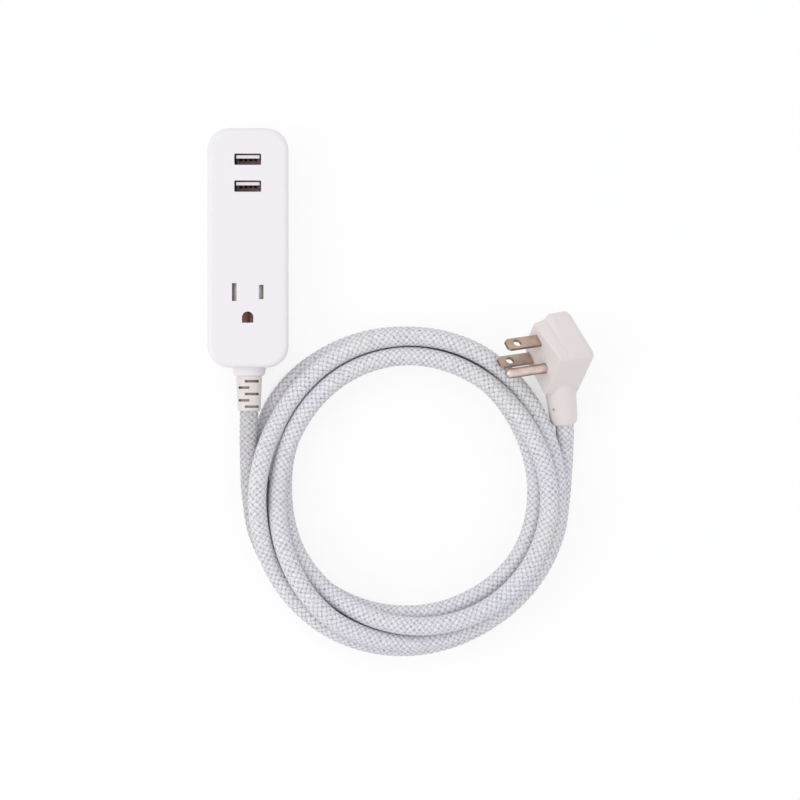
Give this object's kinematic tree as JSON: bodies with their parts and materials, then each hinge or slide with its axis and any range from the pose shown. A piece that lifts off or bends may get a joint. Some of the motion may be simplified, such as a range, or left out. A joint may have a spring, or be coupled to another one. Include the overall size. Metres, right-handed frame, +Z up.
{
  "type": "extension cord",
  "caption": "Short extension cord: flat head with a grounded outlet and USB-A ports, braided cord wound in a flat coil, and an angled flat plug.",
  "frame": {"origin": "centre of the head's flat back, on the surface it lies on", "axes": "+Z up through the face, +Y along the head away from the cord, +X across the head towards the coil"},
  "size_m": [0.1824, 0.2511, 0.039],
  "materials": {
    "white_plastic": "fine satin",
    "screw_steel": "zinc plated",
    "carrier_plastic": "matt",
    "contact_brass": "bare",
    "shutter_plastic": "matt",
    "spring_steel": "bright",
    "shell_steel": "bright nickel",
    "tongue_plastic": "matt",
    "contact_gold": "plated",
    "board_green": "lacquered",
    "ferrite": "matt",
    "winding_tape": "taped",
    "black_plastic": "satin",
    "lead_black": "satin",
    "lead_white": "satin",
    "lead_green": "satin",
    "lead_red": "satin",
    "warm_vinyl": "satin vinyl",
    "white_braid": "braided",
    "core_plastic": "matt",
    "blade_nickel": "nickel plated"
  },
  "bodies": {
    "cord_set": {"front_cover": "white_plastic", "rear_cover": "white_plastic", "cover_screws": "screw_steel", "socket_carrier": "carrier_plastic", "hot_contact": "contact_brass", "neutral_contact": "contact_brass", "ground_contact": "contact_brass", "shutter_spring": "spring_steel", "upper_usb_shell": "shell_steel", "lower_usb_shell": "shell_steel", "usb_tongues": "tongue_plastic", "usb_contacts": "contact_gold", "circuit_board": "board_green", "transformer_core": "ferrite", "transformer_winding": "winding_tape", "capacitors": "black_plastic", "power_chip": "black_plastic", "hot_lead": "lead_black", "neutral_lead": "lead_white", "ground_lead": "lead_green", "board_leads": "lead_red", "cord_collar": "white_plastic", "cord_boot": "warm_vinyl", "cord_lead_in": "white_braid", "cord_coil": "white_braid", "cord_lead_out": "white_braid", "plug_body": "warm_vinyl", "plug_core": "core_plastic", "neutral_blade": "blade_nickel", "hot_blade": "blade_nickel", "ground_pin": "blade_nickel"},
    "neutral_shutter": {"neutral_shutter": "shutter_plastic"},
    "hot_shutter": {"hot_shutter": "shutter_plastic"}
  },
  "joints": [
    {"name": "neutral_shutter_slide", "type": "slide", "parent": "cord_set", "child": "neutral_shutter", "axis": [1, 0, 0], "range_m": [0, 0.0024], "stiffness_N_per_m": 40, "springref_m": -0.0008, "deforming": ["shutter_spring"]},
    {"name": "hot_shutter_slide", "type": "slide", "parent": "cord_set", "child": "hot_shutter", "axis": [-1, 0, 0], "range_m": [0, 0.0024], "stiffness_N_per_m": 40, "springref_m": -0.0008}
  ],
  "couplings": [
    {"joint": "hot_shutter_slide", "follows": "neutral_shutter_slide", "ratio": 1}
  ]
}
